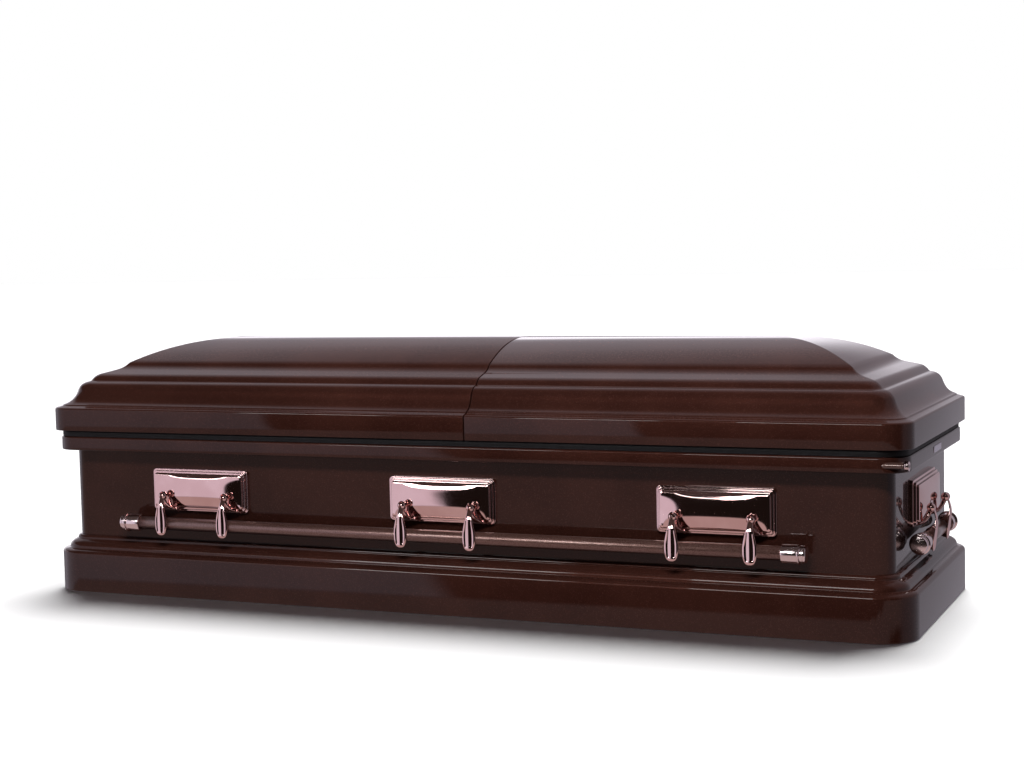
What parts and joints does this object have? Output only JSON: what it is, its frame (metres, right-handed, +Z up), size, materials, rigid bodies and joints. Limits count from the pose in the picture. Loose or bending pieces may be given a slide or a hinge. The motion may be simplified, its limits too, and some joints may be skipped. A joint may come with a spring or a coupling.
{
  "type": "funeral casket",
  "caption": "Half-couch sheet-metal casket with a domed two-part hinged lid, stepped base, plated ear plates and swing bar handles all round.",
  "frame": {"origin": "middle of the overall box in plan, at the level the base stands on", "axes": "+X towards the foot end, -Y towards the front where the lids open, +Z up"},
  "size_m": [2.146, 0.7528, 0.6142],
  "materials": {
    "paint": "glossy metallic brown",
    "rose_copper": "mirror-polished rose copper plating",
    "bar_paint": "pebbled metallic brown",
    "rubber": "matt black",
    "hinge_steel": "zinc plated",
    "satin_plate": "satin, bare"
  },
  "bodies": {
    "casket": {"base_moulding": "paint", "body_shell": "paint", "gasket": "rubber", "head_outer_hinge_fixed_leaf": "hinge_steel", "head_inner_hinge_fixed_leaf": "hinge_steel", "foot_outer_hinge_fixed_leaf": "hinge_steel", "foot_inner_hinge_fixed_leaf": "hinge_steel", "front_1_ear": "rose_copper", "front_2_ear": "rose_copper", "front_3_ear": "rose_copper", "back_1_ear": "rose_copper", "back_2_ear": "rose_copper", "back_3_ear": "rose_copper", "foot_end_ear": "rose_copper", "head_end_ear": "rose_copper", "lock_barrel": "paint", "lock_cap": "rose_copper", "bare_plate": "satin_plate"},
    "head_lid": {"head_lid": "paint", "head_outer_hinge_lid_leaf": "hinge_steel", "head_inner_hinge_lid_leaf": "hinge_steel"},
    "foot_lid": {"foot_lid": "paint", "foot_outer_hinge_lid_leaf": "hinge_steel", "foot_inner_hinge_lid_leaf": "hinge_steel"},
    "front_handle": {"front_1_arm_a": "rose_copper", "front_1_arm_b": "rose_copper", "front_2_arm_a": "rose_copper", "front_2_arm_b": "rose_copper", "front_3_arm_a": "rose_copper", "front_3_arm_b": "rose_copper", "front_bar": "bar_paint", "front_tip_a": "rose_copper", "front_tip_b": "rose_copper"},
    "back_handle": {"back_1_arm_a": "rose_copper", "back_1_arm_b": "rose_copper", "back_2_arm_a": "rose_copper", "back_2_arm_b": "rose_copper", "back_3_arm_a": "rose_copper", "back_3_arm_b": "rose_copper", "back_bar": "bar_paint", "back_tip_a": "rose_copper", "back_tip_b": "rose_copper"},
    "foot_end_handle": {"foot_end_arm_a": "rose_copper", "foot_end_arm_b": "rose_copper", "foot_end_bar": "bar_paint", "foot_end_tip_a": "rose_copper", "foot_end_tip_b": "rose_copper"},
    "head_end_handle": {"head_end_arm_a": "rose_copper", "head_end_arm_b": "rose_copper", "head_end_bar": "bar_paint", "head_end_tip_a": "rose_copper", "head_end_tip_b": "rose_copper"}
  },
  "joints": [
    {"name": "head_lid_hinge", "type": "hinge", "parent": "casket", "child": "head_lid", "pos_m": [-0.5, 0.3576, 0.394], "axis": [-1, 0, 0], "range_deg": [0, 95]},
    {"name": "foot_lid_hinge", "type": "hinge", "parent": "casket", "child": "foot_lid", "pos_m": [0.6, 0.3576, 0.394], "axis": [-1, 0, 0], "range_deg": [0, 95]},
    {"name": "front_handle_hinge", "type": "hinge", "parent": "casket", "child": "front_handle", "pos_m": [0, -0.355, 0.248], "axis": [-1, 0, 0], "range_deg": [0, 90]},
    {"name": "back_handle_hinge", "type": "hinge", "parent": "casket", "child": "back_handle", "pos_m": [0, 0.355, 0.248], "axis": [1, 0, 0], "range_deg": [0, 90]},
    {"name": "foot_end_handle_hinge", "type": "hinge", "parent": "casket", "child": "foot_end_handle", "pos_m": [1.0596, 0, 0.248], "axis": [0, -1, 0], "range_deg": [0, 90]},
    {"name": "head_end_handle_hinge", "type": "hinge", "parent": "casket", "child": "head_end_handle", "pos_m": [-1.0596, 0, 0.248], "axis": [0, 1, 0], "range_deg": [0, 90]}
  ]
}
